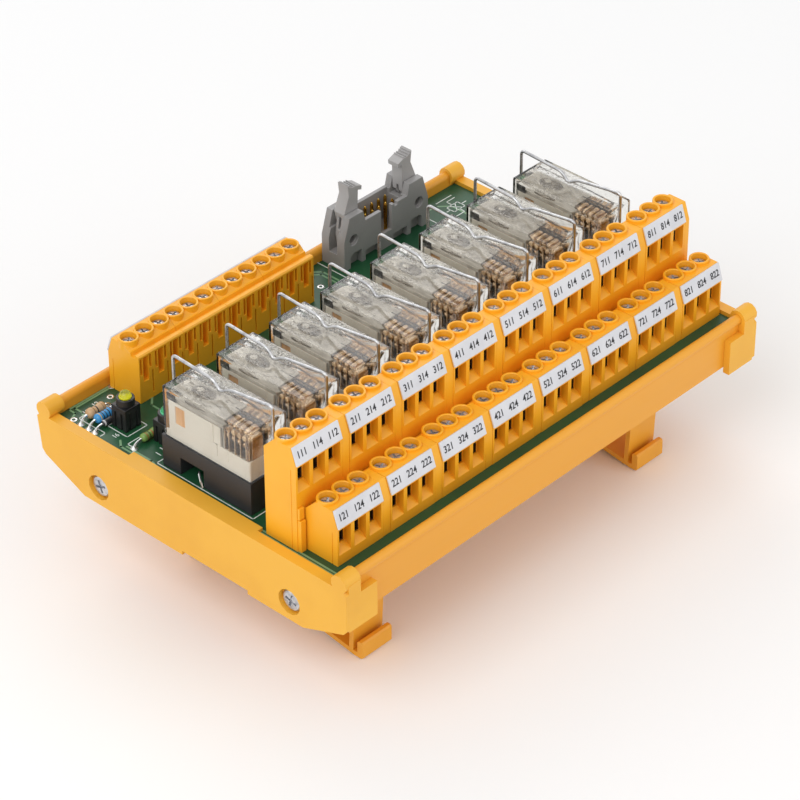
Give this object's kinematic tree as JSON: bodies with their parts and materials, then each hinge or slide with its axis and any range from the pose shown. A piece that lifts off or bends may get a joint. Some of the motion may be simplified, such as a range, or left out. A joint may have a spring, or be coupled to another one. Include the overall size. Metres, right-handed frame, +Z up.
{
  "type": "relay interface module",
  "caption": "Rail-mounted relay board in an orange carrier tray with end plates, clear plug-in relays under wire bails, screw terminal rows and a latched pin header.",
  "frame": {"origin": "under the middle of the module in X and Y, level with the lowest edge of the rail feet", "axes": "+X along the mounting rail, away from the end plate nearest the supply lamp; -Y is the side of the two output terminal tiers; +Z up from the rail"},
  "size_m": [0.1502, 0.104, 0.0676],
  "materials": {
    "tray": "satin orange extrusion",
    "plates": "fine satin moulding",
    "feet": "satin moulding",
    "blocks": "satin moulding",
    "board": "green solder resist",
    "screws": "bright zinc",
    "clamps": "bright zinc",
    "markers": "white",
    "covers": "clear smoky plastic",
    "sockets": "black satin",
    "wire": "bright spring wire",
    "relay_mouldings": "cream moulding",
    "coils": "taped winding",
    "contacts": "copper alloy springs",
    "header": "grey moulding",
    "latches": "grey moulding",
    "pins": "gold plated",
    "holders": "black satin",
    "lamps": "tinted lens",
    "components": "lacquered resistors"
  },
  "bodies": {
    "module": {"carrier_profile": "tray", "circuit_board": "board", "end_plate_screws": "screws", "far_end_plate": "plates", "far_rail_foot": "feet", "header_housing": "header", "header_pins": "pins", "input_block_row": "blocks", "leaded_components": "components", "led_holders": "holders", "lower_block_1": "blocks", "lower_block_2": "blocks", "lower_block_3": "blocks", "lower_block_4": "blocks", "lower_block_5": "blocks", "lower_block_6": "blocks", "lower_block_7": "blocks", "lower_block_8": "blocks", "marker_strips": "markers", "near_end_plate": "plates", "near_rail_foot": "feet", "relay_coils": "coils", "relay_contacts": "contacts", "relay_cover_1": "covers", "relay_cover_2": "covers", "relay_cover_3": "covers", "relay_cover_4": "covers", "relay_cover_5": "covers", "relay_cover_6": "covers", "relay_cover_7": "covers", "relay_cover_8": "covers", "relay_frames": "relay_mouldings", "relay_socket_1": "sockets", "relay_socket_2": "sockets", "relay_socket_3": "sockets", "relay_socket_4": "sockets", "relay_socket_5": "sockets", "relay_socket_6": "sockets", "relay_socket_7": "sockets", "relay_socket_8": "sockets", "status_leds": "lamps", "terminal_screws": "clamps", "upper_block_1": "blocks", "upper_block_2": "blocks", "upper_block_3": "blocks", "upper_block_4": "blocks", "upper_block_5": "blocks", "upper_block_6": "blocks", "upper_block_7": "blocks", "upper_block_8": "blocks"},
    "clip_1": {"retaining_clip_1": "wire"},
    "clip_2": {"retaining_clip_2": "wire"},
    "clip_3": {"retaining_clip_3": "wire"},
    "clip_4": {"retaining_clip_4": "wire"},
    "clip_5": {"retaining_clip_5": "wire"},
    "clip_6": {"retaining_clip_6": "wire"},
    "clip_7": {"retaining_clip_7": "wire"},
    "clip_8": {"retaining_clip_8": "wire"},
    "latch_near": {"header_latch_near": "latches"},
    "latch_far": {"header_latch_far": "latches"}
  },
  "joints": [
    {"name": "clip_1_swing", "type": "hinge", "parent": "module", "child": "clip_1", "pos_m": [-0.05871, 0.01695, 0.0542], "axis": [-1, 0, 0], "range_deg": [0, 70]},
    {"name": "clip_2_swing", "type": "hinge", "parent": "module", "child": "clip_2", "pos_m": [-0.04093, 0.01695, 0.0542], "axis": [-1, 0, 0], "range_deg": [0, 70]},
    {"name": "clip_3_swing", "type": "hinge", "parent": "module", "child": "clip_3", "pos_m": [-0.02315, 0.01695, 0.0542], "axis": [-1, 0, 0], "range_deg": [0, 70]},
    {"name": "clip_4_swing", "type": "hinge", "parent": "module", "child": "clip_4", "pos_m": [-0.00537, 0.01695, 0.0542], "axis": [-1, 0, 0], "range_deg": [0, 70]},
    {"name": "clip_5_swing", "type": "hinge", "parent": "module", "child": "clip_5", "pos_m": [0.01241, 0.01695, 0.0542], "axis": [-1, 0, 0], "range_deg": [0, 70]},
    {"name": "clip_6_swing", "type": "hinge", "parent": "module", "child": "clip_6", "pos_m": [0.03019, 0.01695, 0.0542], "axis": [-1, 0, 0], "range_deg": [0, 70]},
    {"name": "clip_7_swing", "type": "hinge", "parent": "module", "child": "clip_7", "pos_m": [0.04797, 0.01695, 0.0542], "axis": [-1, 0, 0], "range_deg": [0, 70]},
    {"name": "clip_8_swing", "type": "hinge", "parent": "module", "child": "clip_8", "pos_m": [0.06575, 0.01695, 0.0542], "axis": [-1, 0, 0], "range_deg": [0, 70]},
    {"name": "near_latch_swing", "type": "hinge", "parent": "module", "child": "latch_near", "pos_m": [0.0245, 0.04415, 0.046], "axis": [0, -1, 0], "range_deg": [0, 26]},
    {"name": "far_latch_swing", "type": "hinge", "parent": "module", "child": "latch_far", "pos_m": [0.0491, 0.04415, 0.046], "axis": [0, 1, 0], "range_deg": [0, 26]}
  ]
}
